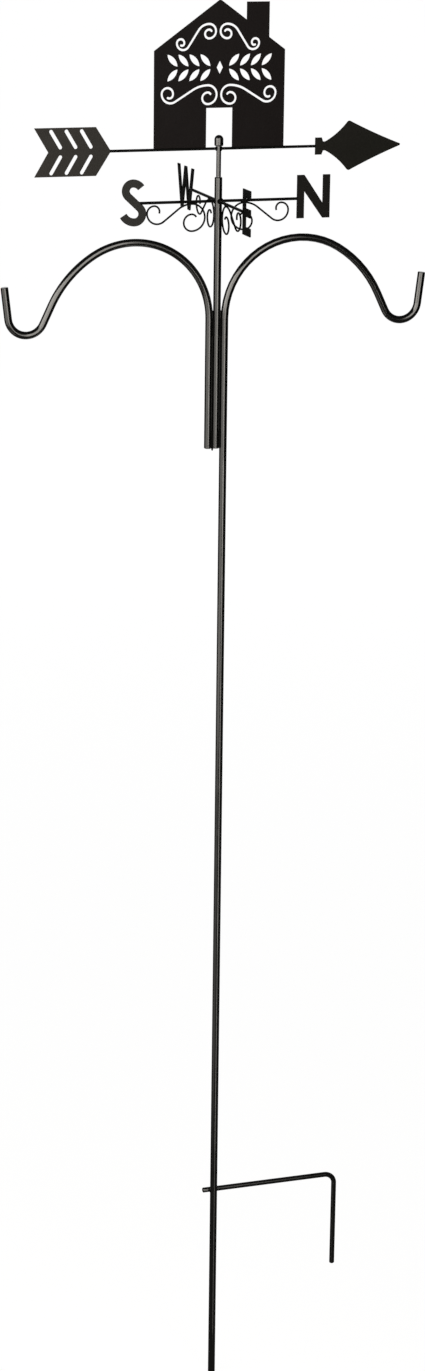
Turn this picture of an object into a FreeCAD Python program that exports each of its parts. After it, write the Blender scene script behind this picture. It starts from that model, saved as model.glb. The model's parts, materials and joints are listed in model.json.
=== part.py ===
"""Double shepherd's hook with a turning weathervane.

Millimetres, +Z up. The origin is on the post's axis at ground level: the foot bar lies on the
ground, and the stake and the prong go into it. North is +X, west is +Y.

A long round bar is the stake, the post and the right hook. A second bar is the left hook. A short
straight mast stands between their shanks, and weld beads join the three. Four arms with letters and
wire scrolls stand out from the mast. The vane's sleeve turns on a pin in the mast's top and hangs
from a ball under its cap.
"""
import FreeCAD, Part
import math
import os
import Sketcher
from FreeCAD import Placement, Rotation, Vector

# Driving dimensions, in millimetres and degrees
DIMENSIONS = [
    ("rod_diameter", 12.0, "round bar of the post, the hooks and the mast"),
    ("weld_gap", 0.6, "gap between neighbouring bars, bridged by weld"),
    ("stake_depth", 340.0, "ground level down to the stake's end"),
    ("fork_height", 1302.0, "lower end of the mast and of the left hook's shank"),
    ("shank_run", 206.7, "left hook's straight shank, up to where the hooks start to bend"),
    ("arch_radius", 123.0, "centreline radius of a hook's arch"),
    ("arch_turn", 121.0, "turn of the arch"),
    ("leg_radius", 176.0, "centreline radius of the outer leg's slow bend"),
    ("leg_turn", 33.5, "turn of that slow bend"),
    ("leg_run", 31.0, "straight run before the hook's cup"),
    ("hook_radius", 29.0, "centreline radius of the cup that holds a hanger"),
    ("hook_turn", 148.0, "turn of the cup"),
    ("tip_run", 50.0, "straight end of the hook"),
    ("end_chamfer", 0.8, "chamfer on the cut ends of the bars"),
    ("foot_diameter", 8.0, "round bar of the foot"),
    ("foot_stub", 16.0, "foot bar past the post's axis, on the short side"),
    ("foot_reach", 222.0, "post's axis to the prong's axis"),
    ("foot_bend_radius", 17.5, "centreline radius of the foot's bend"),
    ("prong_depth", 167.0, "ground level down to the prong's end"),
    ("mast_rise", 37.0, "mast's shoulder above the arms' axis"),
    ("mast_chamfer", 1.2, "chamfer round the mast's shoulder"),
    ("pin_diameter", 5.0, "pivot pin"),
    ("pin_seat", 30.0, "depth of the pin in the mast"),
    ("running_clearance", 0.05, "radial clearance of the sleeve on its pin, and play over the ball"),
    ("ball_diameter", 5.0, "thrust ball"),
    ("sleeve_diameter", 7.5, "outside of the vane's sleeve"),
    ("sleeve_gap", 0.5, "sleeve's end above the mast's shoulder"),
    ("cap_diameter", 14.0, "round cap on the sleeve"),
    ("cap_height", 16.8, "cap from rim to crown"),
    ("cap_rim", 1.6, "rounding of the cap's rim"),
    ("cap_rise", 4.0, "cap's rim above the arrow's axis"),
    ("cap_socket", 5.0, "depth of the sleeve in the cap"),
    ("arrow_rise", 43.5, "arrow's axis above the mast's shoulder"),
    ("shaft_diameter", 4.0, "arrow's shafts"),
    ("plate_thickness", 1.2, "sheet of the letters and of the vane's plates"),
    ("arm_rise", 54.3, "arms' axis above the tops of the arches"),
    ("arm_diameter", 4.0, "arms"),
    ("north_reach", 128.7, "mast's axis to the N's inner edge"),
    ("east_reach", 126.2, "mast's axis to the E's inner edge"),
    ("south_reach", 126.0, "mast's axis to the edge of the S's spine"),
    ("west_reach", 130.0, "mast's axis to the W's inner top corner"),
    ("north_rise", 2.9, "N's middle above the arms' axis"),
    ("east_rise", 0.6, "E's middle above the arms' axis"),
    ("west_rise", -0.4, "W's middle above the arms' axis"),
    ("south_rise", 1.6, "middle of the S's spine above the arms' axis"),
    ("letter_height", 67.2, "height of the letters"),
    ("letter_stroke", 10.8, "width of the letters' strokes"),
    ("north_stroke", 11.8, "width of the N's strokes"),
    ("north_width", 54.3, "width of the N"),
    ("east_width", 34.5, "width of the E"),
    ("west_width", 87.0, "width of the W"),
    ("south_overshoot", 1.6, "S past the other letters, above and below"),
    ("south_slope", 43.0, "slope of the S's spine"),
    ("south_growth", 1.0, "radius of the S's lower bowl over its upper one"),
    ("south_shift", 2.3, "S's upper bowl outwards of its lower one"),
    ("south_top_end", 15.5, "radius of the S's upper end"),
    ("south_top_sweep", 53.0, "turn of the S's upper end"),
    ("south_bottom_end", 20.5, "radius of the S's lower end"),
    ("south_bottom_sweep", 58.0, "turn of the S's lower end"),
    ("wire_diameter", 2.6, "wire of the scrolls under the arms"),
    ("wire_gap", 0.1, "gap between arm and scroll, bridged by weld"),
    ("scroll_crown", 42.5, "mast's axis to the scroll's highest point"),
    ("scroll_curl", 21.0, "radius of the scroll's large curl"),
    ("scroll_eye", 13.0, "radius of the curl's next half turn"),
    ("scroll_end", 8.0, "radius of the curl's end"),
    ("scroll_fall_radius", 35.0, "radius where the scroll leaves its crown"),
    ("scroll_fall_turn", 38.0, "slope of the scroll's straight part"),
    ("scroll_fall_run", 30.4, "length of that straight part"),
    ("scroll_cup", 16.5, "radius of the outer curl's bowl"),
    ("scroll_lip", 11.5, "radius of the outer curl's top"),
    ("scroll_tip", 8.5, "radius of the outer curl's end"),
    ("house_width", 209.6, "house plate across the walls"),
    ("wall_height", 147.0, "house plate from the shaft to the eaves"),
    ("roof_rise", 76.0, "eaves to ridge"),
    ("chimney_width", 36.5, "chimney"),
    ("chimney_offset", 60.7, "ridge to the chimney's middle"),
    ("chimney_drop", 4.0, "chimney's top below the ridge"),
    ("door_width", 42.0, "doorway"),
    ("door_height", 60.0, "doorway above the shaft"),
    ("cut_width", 3.3, "width of the scrolls cut in the house plate"),
    ("upper_axis", -3.0, "ridge line to the middle of the upper pair of cut scrolls"),
    ("upper_crown", 14.5, "that middle to an upper cut scroll's crown"),
    ("upper_level", 186.2, "shaft to the upper cut scroll's crown"),
    ("upper_curl", 10.8, "radius of its inner curl"),
    ("upper_eye", 6.6, "radius of the curl's next half turn"),
    ("upper_end", 4.2, "radius of the curl's end"),
    ("upper_fall_radius", 20.0, "radius where it leaves its crown"),
    ("upper_fall_turn", 57.0, "slope of its straight part"),
    ("upper_fall_run", 29.6, "length of that straight part"),
    ("upper_cup", 10.0, "radius of its outer curl's bowl"),
    ("upper_lip", 6.2, "radius of the outer curl's top"),
    ("upper_tip", 5.6, "radius of the outer curl's inside"),
    ("upper_coil", 3.4, "radius of the outer curl's end"),
    ("lower_axis", -0.9, "ridge line to the middle of the lower pair of cut scrolls"),
    ("lower_crown", 17.9, "that middle to a lower cut scroll's crown"),
    ("lower_level", 94.3, "shaft to the lower cut scroll's crown"),
    ("lower_curl", 14.2, "radius of its inner curl"),
    ("lower_eye", 8.8, "radius of the curl's next half turn"),
    ("lower_end", 5.0, "radius of the curl's end"),
    ("lower_fall_radius", 46.0, "radius where it leaves its crown"),
    ("lower_fall_turn", 31.6, "slope of its straight part"),
    ("lower_fall_run", 33.0, "length of that straight part"),
    ("lower_cup", 14.0, "radius of its outer curl's bowl"),
    ("lower_lip", 9.0, "radius of the outer curl's top"),
    ("lower_tip", 9.0, "radius of the outer curl's inside"),
    ("lower_coil", 5.4, "radius of the outer curl's end"),
    ("leaf_level", 121.0, "shaft to the middle of the leaf garland"),
    ("leaf_length", 24.0, "leaf cut-out, tip to tip"),
    ("leaf_width", 8.6, "leaf cut-out, across"),
    ("leaf_pitch", 17.5, "step from leaf pair to leaf pair"),
    ("leaf_first", 15.0, "ridge line to the first leaf pair's foot"),
    ("leaf_slant", 48.0, "leaves' slope against the garland"),
    ("leaf_stem", 2.2, "half of the web left between upper and lower leaves"),
    ("bud_width", 10.0, "lozenge in the garland's middle"),
    ("bud_height", 20.0, "height of that lozenge"),
    ("tail_start", 173.8, "mast's axis to the tail's front"),
    ("tail_length", 119.2, "tail from front to rear corners"),
    ("tail_height", 73.8, "tail across"),
    ("tail_rake", 22.0, "depth of the tail's notch"),
    ("tail_nose", 23.6, "depth of the tail's front chevron"),
    ("slot_width", 5.7, "tail's slots"),
    ("slot_first", 26.0, "tail's front to the first slot's line, on the axis"),
    ("slot_pitch", 24.0, "step from slot to slot"),
    ("slot_inner", 7.3, "arrow's axis to a slot's inner end"),
    ("slot_outer", 31.3, "arrow's axis to a slot's outer end"),
    ("head_start", 157.0, "mast's axis to the arrow head's collar"),
    ("collar_width", 10.8, "collar along the arrow"),
    ("collar_height", 26.4, "collar across"),
    ("collar_taper", 2.2, "slant of the collar's front"),
    ("neck_run", 3.6, "neck along the arrow"),
    ("neck_height", 13.8, "neck across"),
    ("barb_start", 54.8, "collar's back to the barbs"),
    ("barb_height", 78.4, "head across the barbs, before rounding"),
    ("flank_radius", 115.0, "hollow flanks of the head"),
    ("edge_radius", 900.0, "hollow of the head's front edges"),
    ("head_length", 144.2, "collar's back to the point, before rounding"),
    ("barb_round", 4.0, "rounding of the barbs"),
    ("point_round", 1.8, "rounding of the point"),
    ("bead_radius", 2.6, "weld beads between the shanks"),
    ("bead_length", 26.0, "length of those beads"),
    ("bead_offset", 3.9, "beads' lines from the plane of the hooks"),
    ("bead_drop", 1.5, "lower beads past the ends of the bars"),
    ("foot_bead_radius", 6.5, "weld at the foot bar's crossing"),
    ("root_bead", 3.2, "radius of the weld round a shaft's root"),
    ("root_bead_length", 2.6, "length of that weld"),
    ("seam_bead", 1.15, "radius of the welds along wire and plate"),
    ("seam_bead_length", 10.0, "length of those welds"),
]

# Sizes that follow from the driving ones
DERIVED = [
    ("pitch", "dims.rod_diameter + dims.weld_gap"),
    ("mast_x", "-(dims.rod_diameter + dims.weld_gap)"),
    ("left_x", "-2 * (dims.rod_diameter + dims.weld_gap)"),
    ("stake_end", "-dims.stake_depth"),
    ("bend_height", "dims.fork_height + dims.shank_run"),
    ("arm_height", "bend_height + dims.arch_radius + dims.rod_diameter / 2 + dims.arm_rise"),
    ("mast_top", "arm_height + dims.mast_rise"),
    ("arrow_height", "mast_top + dims.arrow_rise"),
    ("post_run", "dims.stake_depth + bend_height"),
    ("foot_back", "(dims.rod_diameter + dims.foot_diameter) / 2 + dims.weld_gap"),
    ("foot_level", "dims.foot_diameter / 2"),
    ("foot_start", "-dims.foot_stub"),
    ("foot_run", "dims.foot_stub + dims.foot_reach - dims.foot_bend_radius"),
    ("prong_run", "dims.prong_depth + dims.foot_diameter / 2 - dims.foot_bend_radius"),
    ("mast_length", "mast_top - dims.fork_height"),
    ("pin_bottom", "mast_top - dims.pin_seat"),
    ("cap_bottom", "arrow_height + dims.cap_rise"),
    ("sleeve_bottom", "mast_top + dims.sleeve_gap"),
    ("sleeve_top", "arrow_height + dims.cap_rise + dims.cap_socket"),
    ("sleeve_length", "sleeve_top - sleeve_bottom"),
    ("sleeve_bore", "dims.pin_diameter + 2 * dims.running_clearance"),
    ("pin_length", "sleeve_top - dims.ball_diameter / 2 - pin_bottom"),
    ("ball_room", "dims.ball_diameter + 2 * dims.running_clearance"),
    ("plate_bottom", "arrow_height + dims.shaft_diameter / 2"),
    ("wire_level", "-(dims.arm_diameter + dims.wire_diameter) / 2 - dims.wire_gap"),
]

CURL_END_TURN = 60.0
TIP_END_TURN = 110.0
COIL_END_TURN = 100.0
SLOT_COUNT = 3
LEAF_PAIRS = 4
BEARINGS = {"north": 0.0, "west": 90.0, "south": 180.0, "east": 270.0}
UP = Vector(0, 0, 1)

doc = FreeCAD.newDocument("shepherds_hook")


def fill_sheets():
    """One sheet holds the driving dimensions, a second one what follows from them."""
    driving = doc.addObject("Spreadsheet::Sheet", "dims")
    for row, (alias, number, meaning) in enumerate(DIMENSIONS, start=1):
        driving.set(f"A{row}", meaning)
        driving.set(f"B{row}", str(number))
        driving.setAlias(f"B{row}", alias)
    doc.recompute()
    following = doc.addObject("Spreadsheet::Sheet", "derived")
    for row, (alias, formula) in enumerate(DERIVED, start=1):
        following.set(f"A{row}", "=" + formula)
        following.setAlias(f"A{row}", alias)
    doc.recompute()
    return driving, following


dims, derived = fill_sheets()
DRIVING_NAMES = {alias for alias, _, _ in DIMENSIONS}


def cell(name):
    """The expression that reads one named size."""
    return f"dims.{name}" if name in DRIVING_NAMES else f"derived.{name}"


def size(name):
    """One named size as a number."""
    return float((dims if name in DRIVING_NAMES else derived).get(name))


def amount(value):
    """A named size or a plain number, as a number."""
    return size(value) if isinstance(value, str) else value


def toward(heading, length):
    """A step in the sketch plane."""
    return Vector(math.cos(math.radians(heading)), math.sin(math.radians(heading)), 0) * length


def arc(centre, radius, start, turn):
    """A sketch arc from a start angle through a turn either way, in degrees."""
    low, high = sorted((start, start + turn))
    return Part.ArcOfCircle(Part.Circle(centre, UP, radius), math.radians(low), math.radians(high))


class Walk:
    """A bent centreline: straight runs and tangent bends, walked from a start and a heading.

    Runs and bends are given by the names of their sizes, or as numbers where the walk drives no sketch
    dimension. A side of -1 mirrors the walk left to right.
    """

    def __init__(self, start, heading, side=1):
        self.at = Vector(side * start[0], start[1], 0)
        self.side = side
        self.heading = heading if side > 0 else 180.0 - heading
        self.legs = []

    def run(self, length):
        end = self.at + toward(self.heading, amount(length))
        self.legs.append({"from": self.at, "to": end, "heading": self.heading, "length": length})
        self.at = end
        return self

    def bend(self, radius, turn, way):
        """Turn to the left (way 1) or to the right (way -1)."""
        degrees = amount(turn)
        hand = way * self.side
        centre = self.at + toward(self.heading + 90 * hand, amount(radius))
        start = self.heading - 90 * hand
        end = centre + toward(start + degrees * hand, amount(radius))
        self.legs.append({"from": self.at, "to": end, "centre": centre, "start": start, "radius": radius,
                          "turn": turn, "sweep": degrees * hand})
        self.at = end
        self.heading += degrees * hand
        return self

    def edges(self, offset=0.0):
        """Sketch geometry of the walk, or of a line beside it: a positive offset lies to the left."""
        made = []
        for leg in self.legs:
            if "length" in leg:
                shift = toward(leg["heading"] + 90, offset)
                made.append(Part.LineSegment(leg["from"] + shift, leg["to"] + shift))
            else:
                radius = amount(leg["radius"]) - math.copysign(offset, leg["sweep"] * offset)
                made.append(arc(leg["centre"], radius, leg["start"], leg["sweep"]))
        return made

    def end_heading(self, last):
        """The heading at the walk's start or at its end."""
        leg = self.legs[-1 if last else 0]
        if "length" in leg:
            return leg["heading"]
        quarter = math.copysign(90.0, leg["sweep"])
        return leg["start"] + quarter + (leg["sweep"] if last else 0.0)

    def outline(self, width, round_ends=True):
        """Closed sketch geometry of a stroke along the walk."""
        half = width / 2
        made = self.edges(half) + self.edges(-half)
        for point, heading in ((self.legs[0]["from"], self.end_heading(False) + 180),
                               (self.legs[-1]["to"], self.end_heading(True))):
            if round_ends:
                made.append(arc(point, half, heading - 90, 180.0))
            else:
                made.append(Part.LineSegment(point + toward(heading + 90, half),
                                             point + toward(heading - 90, half)))
        return made


def polygon(points):
    """Closed sketch geometry through corner points."""
    corners = [Vector(x, z, 0) for x, z in points]
    return [Part.LineSegment(a, b) for a, b in zip(corners, corners[1:] + corners[:1])]


def new_body(label, x=None, y=None, z=None, bearing=0.0):
    """A body named for its piece, placed by named sizes and turned about the vertical."""
    body = doc.addObject("PartDesign::Body", label)
    body.Label = label
    body.Placement = Placement(Vector(), Rotation(UP, bearing))
    for axis, name in (("x", x), ("y", y), ("z", z)):
        if name:
            body.setExpression(f"Placement.Base.{axis}", cell(name))
    return body


def sketch_on(body, name, role, offset=None, sign=""):
    """A sketch on one of the body's own planes, moved along its normal by a named size."""
    sketch = body.newObject("Sketcher::SketchObject", f"{body.Name}_{name}")
    plane = [feature for feature in body.Origin.OriginFeatures if feature.Role == role][0]
    sketch.AttachmentSupport = (plane, [""])
    sketch.MapMode = "FlatFace"
    if offset:
        sketch.setExpression("AttachmentOffset.Base.z", sign + cell(offset))
    return sketch


def bind(sketch, constraint, expression):
    """Add a dimension to a sketch and tie it to its cell."""
    index = sketch.addConstraint(constraint)
    sketch.setExpression(f"Constraints[{index}]", expression)


def circle_sketch(body, name, role, diameters, offset=None, level=None):
    """Concentric circles about the plane's origin, or about a point raised by a named size."""
    sketch = sketch_on(body, name, role, offset)
    height = size(level) if level else 0.0
    for diameter in diameters:
        ring = sketch.addGeometry(Part.Circle(Vector(0, height, 0), UP, size(diameter) / 2), False)
        bind(sketch, Sketcher.Constraint("Diameter", ring, size(diameter)), cell(diameter))
        if level:
            sketch.addConstraint(Sketcher.Constraint("PointOnObject", ring, 3, -2))
            bind(sketch, Sketcher.Constraint("DistanceY", -1, 1, ring, 3, height), cell(level))
        else:
            sketch.addConstraint(Sketcher.Constraint("Coincident", ring, 3, -1, 1))
    return sketch


def path_sketch(body, name, walk):
    """A walk as a fully dimensioned sketch in the body's front plane."""
    sketch = sketch_on(body, name, "XZ_Plane")
    ends = []
    for leg, edge in zip(walk.legs, walk.edges()):
        number = sketch.addGeometry(edge, False)
        if "length" in leg:
            ends.append((number, 1, 2))
            bind(sketch, Sketcher.Constraint("Distance", number, size(leg["length"])), cell(leg["length"]))
            continue
        ends.append((number, 1, 2) if leg["sweep"] > 0 else (number, 2, 1))
        bind(sketch, Sketcher.Constraint("Radius", number, size(leg["radius"])), cell(leg["radius"]))
        opening = Sketcher.Constraint("Angle", number, math.radians(abs(leg["sweep"])))
        if isinstance(leg["turn"], str):
            bind(sketch, opening, f"{cell(leg['turn'])} * 1 deg")
        else:
            sketch.addConstraint(opening)
    for before, after in zip(ends, ends[1:]):
        sketch.addConstraint(Sketcher.Constraint("Tangent", before[0], before[2], after[0], after[1]))
    return sketch, ends


def pin_start(sketch, first, x, z):
    """Fix a path's first point by named sizes, where a name is given."""
    geometry, point = first[0], first[1]
    for kind, name in (("DistanceX", x), ("DistanceY", z)):
        value = size(name) if name else 0.0
        constraint = Sketcher.Constraint(kind, -1, 1, geometry, point, value)
        if name:
            bind(sketch, constraint, cell(name))
        else:
            sketch.addConstraint(constraint)


def pipe(body, name, section, path, count):
    """Sweep a section along a path sketch."""
    feature = body.newObject("PartDesign::AdditivePipe", f"{body.Name}_{name}")
    feature.Profile = section
    feature.Spine = (path, [f"Edge{number + 1}" for number in range(count)])
    doc.recompute()
    return feature


def pad(body, name, sketch, length, symmetric=False):
    """A pad of a named length, to one side or half to each side."""
    feature = body.newObject("PartDesign::Pad", f"{body.Name}_{name}")
    feature.Profile = sketch
    feature.setExpression("Length", cell(length))
    feature.SideType = "Symmetric" if symmetric else "One side"
    doc.recompute()
    return feature


def cut_through(body, name, sketch):
    """A pocket through the whole body, both ways from its sketch."""
    before = body.Tip.Shape.Volume
    feature = body.newObject("PartDesign::Pocket", f"{body.Name}_{name}")
    feature.Profile = sketch
    feature.Type = "ThroughAll"
    feature.SideType = "Symmetric"
    doc.recompute()
    if not feature.Shape.Volume < before:
        raise RuntimeError(f"{feature.Name} cuts nothing")
    return feature


def edge_names(shape, points, kind):
    """Names of the edges of one kind of curve whose middle or centre lies at one of the points."""
    found = []
    for number, edge in enumerate(shape.Edges, start=1):
        if edge.Degenerated or edge.Curve.TypeId != kind:
            continue
        middle = edge.Curve.Center if kind == "Part::GeomCircle" else edge.CenterOfMass
        if any(middle.distanceToPoint(point) < 1e-3 for point in points):
            found.append(f"Edge{number}")
    return found


def ease(body, name, kind, points, amount, curve="Part::GeomCircle"):
    """Chamfer or fillet the edges at the given points by a named size."""
    base = body.Tip
    feature = body.newObject(f"PartDesign::{kind}", f"{body.Name}_{name}")
    feature.Base = (base, edge_names(base.Shape, points, curve))
    feature.setExpression("Size" if kind == "Chamfer" else "Radius", cell(amount))
    doc.recompute()
    return feature


def in_front_plane(point):
    """A sketch point of the front plane as a point in the body's space."""
    return Vector(point.x, 0, point.y)


def hook_bends(walk):
    """The bends of a hook, from the top of its shank to its tip."""
    walk.bend("arch_radius", "arch_turn", -1).bend("leg_radius", "leg_turn", -1).run("leg_run")
    return walk.bend("hook_radius", "hook_turn", 1).run("tip_run")


def make_bar(label, x, start, shank, side):
    """A bar that rises from its lower end as a straight shank and bends over into a hook."""
    body = new_body(label, x=x)
    walk = hook_bends(Walk((0.0, size(start)), 90.0, side).run(shank))
    path, ends = path_sketch(body, "path", walk)
    path.addConstraint(Sketcher.Constraint("Vertical", ends[0][0]))
    pin_start(path, ends[0], None, start)
    section = circle_sketch(body, "section", "XY_Plane", ["rod_diameter"], offset=start)
    pipe(body, "rod", section, path, len(walk.legs))
    ease(body, "ends", "Chamfer", [Vector(0, 0, size(start)), in_front_plane(walk.at)], "end_chamfer")
    return body


def make_foot_bar():
    """The foot bar lies on the ground behind the post and turns down into a prong."""
    body = new_body("foot_bar", y="foot_back")
    walk = Walk((size("foot_start"), size("foot_level")), 0.0)
    walk.run("foot_run").bend("foot_bend_radius", 90.0, -1).run("prong_run")
    path, ends = path_sketch(body, "path", walk)
    path.addConstraint(Sketcher.Constraint("Horizontal", ends[0][0]))
    pin_start(path, ends[0], "foot_start", "foot_level")
    section = circle_sketch(body, "section", "YZ_Plane", ["foot_diameter"], offset="foot_start",
                            level="foot_level")
    pipe(body, "rod", section, path, len(walk.legs))
    start = Vector(size("foot_start"), 0, size("foot_level"))
    ease(body, "ends", "Chamfer", [start, in_front_plane(walk.at)], "end_chamfer")
    return body


def make_mast():
    """The mast is a straight bar with a chamfered shoulder, drilled for the pivot pin."""
    body = new_body("mast", x="mast_x")
    pad(body, "bar", circle_sketch(body, "section", "XY_Plane", ["rod_diameter"], offset="fork_height"),
        "mast_length")
    before = body.Tip.Shape.Volume
    hole = body.newObject("PartDesign::Pocket", "mast_pin_hole")
    hole.Profile = circle_sketch(body, "hole", "XY_Plane", ["pin_diameter"], offset="mast_top")
    hole.setExpression("Length", cell("pin_seat"))
    doc.recompute()
    if not hole.Shape.Volume < before:
        raise RuntimeError("the pin's hole cuts nothing")
    shoulder = Vector(0, 0, size("mast_top"))
    outer = [name for name in edge_names(hole.Shape, [shoulder], "Part::GeomCircle")
             if hole.Shape.getElement(name).Curve.Radius > size("pin_diameter")]
    edge = body.newObject("PartDesign::Chamfer", "mast_shoulder")
    edge.Base = (hole, outer)
    edge.setExpression("Size", cell("mast_chamfer"))
    doc.recompute()
    return body


def make_pivot():
    """The pin stands in the mast's top and carries the thrust ball."""
    pin = new_body("pivot_pin", x="mast_x")
    pad(pin, "bar", circle_sketch(pin, "section", "XY_Plane", ["pin_diameter"], offset="pin_bottom"),
        "pin_length")
    ball = doc.addObject("Part::Sphere", "thrust_ball")
    ball.Label = "thrust_ball"
    ball.setExpression("Radius", f"{cell('ball_diameter')} / 2")
    ball.setExpression("Placement.Base.x", cell("mast_x"))
    ball.setExpression("Placement.Base.z", cell("sleeve_top"))
    return [pin, ball]


def make_hub():
    """The vane's sleeve and the round cap over it, which holds the ball's room."""
    sleeve = new_body("hub_sleeve", x="mast_x")
    rings = circle_sketch(sleeve, "section", "XY_Plane", ["sleeve_diameter", "sleeve_bore"],
                          offset="sleeve_bottom")
    pad(sleeve, "tube", rings, "sleeve_length")

    cap = new_body("hub_cap", x="mast_x", z="cap_bottom")
    radius = size("cap_diameter") / 2
    socket = size("sleeve_diameter") / 2
    room = size("ball_room") / 2
    seat = size("cap_socket")
    ceiling = seat + size("ball_room") / 2
    dome = size("cap_height") - radius
    profile = sketch_on(cap, "profile", "XZ_Plane")
    corners = [(0, ceiling), (room, ceiling), (room, seat), (socket, seat), (socket, 0), (radius, 0),
               (radius, dome)]
    points = [Vector(x, z, 0) for x, z in corners]
    crown = Vector(0, size("cap_height"), 0)
    profile.addGeometry([Part.LineSegment(a, b) for a, b in zip(points, points[1:])], False)
    profile.addGeometry(arc(Vector(0, dome, 0), radius, 0.0, 90.0), False)
    profile.addGeometry(Part.LineSegment(crown, points[0]), False)
    turned = cap.newObject("PartDesign::Revolution", "hub_cap_turned")
    turned.Profile = profile
    turned.ReferenceAxis = (profile, ["V_Axis"])
    turned.Angle = 360.0
    doc.recompute()
    rim = [name for name in edge_names(turned.Shape, [Vector()], "Part::GeomCircle")
           if turned.Shape.getElement(name).Curve.Radius > socket + 1e-6]
    rounding = cap.newObject("PartDesign::Fillet", "hub_cap_rim")
    rounding.Base = (turned, rim)
    rounding.setExpression("Radius", cell("cap_rim"))
    doc.recompute()
    return [sleeve, cap]


def plate(label, geometry, placed):
    """A flat sheet cut to an outline in the front plane, half its thickness to each side."""
    body = new_body(label, **placed)
    outline = sketch_on(body, "outline", "XZ_Plane")
    outline.addGeometry(geometry, False)
    pad(body, "sheet", outline, "plate_thickness", symmetric=True)
    return body


def letter_levels(direction):
    """Lowest and highest line of a letter, against the arms' axis."""
    middle, half = size(f"{direction}_rise"), size("letter_height") / 2
    return middle - half, middle + half


def letter_polygon(direction, points):
    """Corner points of a letter as an outline that starts at its reach from the mast."""
    return polygon([(size(f"{direction}_reach") + x, z) for x, z in points])


def letter_n():
    """Outline of the N; its inner edge is upright and at its reach."""
    width, stroke = size("north_width"), size("north_stroke")
    low, high = letter_levels("north")
    upper_notch = high - 0.66 * (high - low)
    lower_notch = low + 0.63 * (high - low)
    points = [(0, low), (0, high), (stroke, high), (width - stroke, upper_notch), (width - stroke, high),
              (width, high), (width, low), (width - stroke, low), (stroke, lower_notch), (stroke, low)]
    return letter_polygon("north", points), 0.0, 0.0


def letter_e():
    """Outline of the E; its inner edge is upright and at its reach."""
    width, stroke = size("east_width"), size("letter_stroke")
    low, high = letter_levels("east")
    middle = (low + high) / 2
    points = [(0, low), (0, high), (width, high), (width, high - stroke), (stroke, high - stroke),
              (stroke, middle + stroke / 2), (width, middle + stroke / 2), (width, middle - stroke / 2),
              (stroke, middle - stroke / 2), (stroke, low + stroke), (width, low + stroke), (width, low)]
    return letter_polygon("east", points), 0.0, 0.0


def letter_w():
    """Outline of the W, with the place and the lean of its inner edge at the arm."""
    stroke = size("letter_stroke")
    low, high = letter_levels("west")
    tall = high - low
    step = (size("west_width") - stroke) / 4
    notch = tall * stroke / (2 * step)
    tops = [number * step * 2 for number in range(3)]
    feet = [step + number * step * 2 for number in range(2)]
    points = [(tops[0], high), (tops[0] + stroke, high), (feet[0] + stroke / 2, low + notch),
              (tops[1], high), (tops[1] + stroke, high), (feet[1] + stroke / 2, low + notch),
              (tops[2], high), (tops[2] + stroke, high), (feet[1] + stroke, low), (feet[1], low),
              (tops[1] + stroke / 2, high - notch), (feet[0] + stroke, low), (feet[0], low)]
    lean = -step / tall
    return letter_polygon("west", points), -lean * high, lean


def letter_s():
    """Outline of the S, a stroke of two bowls on a sloping spine, and the lean of the spine's edge.

    The S stands on the side of the mast where outwards is to the left, so its walk is mirrored. The edge
    of its spine meets the arm at the S's reach.
    """
    stroke, slant, shift = size("letter_stroke"), size("south_slope"), size("south_shift")
    slope = math.radians(slant)
    tall = size("letter_height") + 2 * size("south_overshoot") - stroke
    bowls = (tall - shift * math.tan(slope)) / (1 + 1 / math.cos(slope))
    upper = (bowls - size("south_growth")) / 2
    lower = bowls - upper
    spine = bowls * math.tan(slope) + shift / math.cos(slope)
    rise = size("south_rise")
    middle = size("south_reach") + stroke / 2 / math.sin(slope) + rise / math.tan(slope)
    top_end, top_sweep = size("south_top_end"), size("south_top_sweep")
    opening = math.radians(top_sweep)
    top = Vector(upper * math.sin(slope) - spine / 2 * math.cos(slope),
                 upper * (1 + math.cos(slope)) + spine / 2 * math.sin(slope) + rise, 0)
    start = top + Vector(top_end * math.sin(opening), top_end * (math.cos(opening) - 1), 0)
    walk = Walk((start.x - middle, start.y), 180.0 - top_sweep, -1)
    walk.bend(top_end, top_sweep, 1).bend(upper, 180.0 - slant, 1).run(spine)
    walk.bend(lower, 180.0 - slant, -1).bend("south_bottom_end", "south_bottom_sweep", -1)
    return walk.outline(stroke, round_ends=False), 0.0, 1 / math.tan(slope)


LETTERS = {"north": letter_n, "east": letter_e, "south": letter_s, "west": letter_w}


def scroll_walks(prefix, crown, level, side=1):
    """An S scroll as two walks from its crown: in to one curl, and out to the other."""
    inner = Walk((crown, level), 180.0, side)
    inner.bend(f"{prefix}_curl", 180.0, 1).bend(f"{prefix}_eye", 180.0, 1)
    inner.bend(f"{prefix}_end", CURL_END_TURN, 1)
    outer = Walk((crown, level), 0.0, side)
    outer.bend(f"{prefix}_fall_radius", f"{prefix}_fall_turn", -1).run(f"{prefix}_fall_run")
    outer.bend(f"{prefix}_cup", size(f"{prefix}_fall_turn") + 90.0, 1)
    outer.bend(f"{prefix}_lip", 90.0, 1).bend(f"{prefix}_tip", TIP_END_TURN, 1)
    return inner, outer


def make_scroll(direction):
    """A wire scroll under an arm: one pipe each way from its crown."""
    body = new_body(f"{direction}_scroll", x="mast_x", z="arm_height", bearing=BEARINGS[direction])
    section = circle_sketch(body, "section", "YZ_Plane", ["wire_diameter"], offset="scroll_crown",
                            level="wire_level")
    walks = scroll_walks("scroll", size("scroll_crown"), size("wire_level"))
    for name, walk in zip(("curl", "sweep"), walks):
        path, ends = path_sketch(body, name, walk)
        pin_start(path, ends[0], "scroll_crown", "wire_level")
        pipe(body, f"{name}_wire", section, path, len(walk.legs))
    return body


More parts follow.
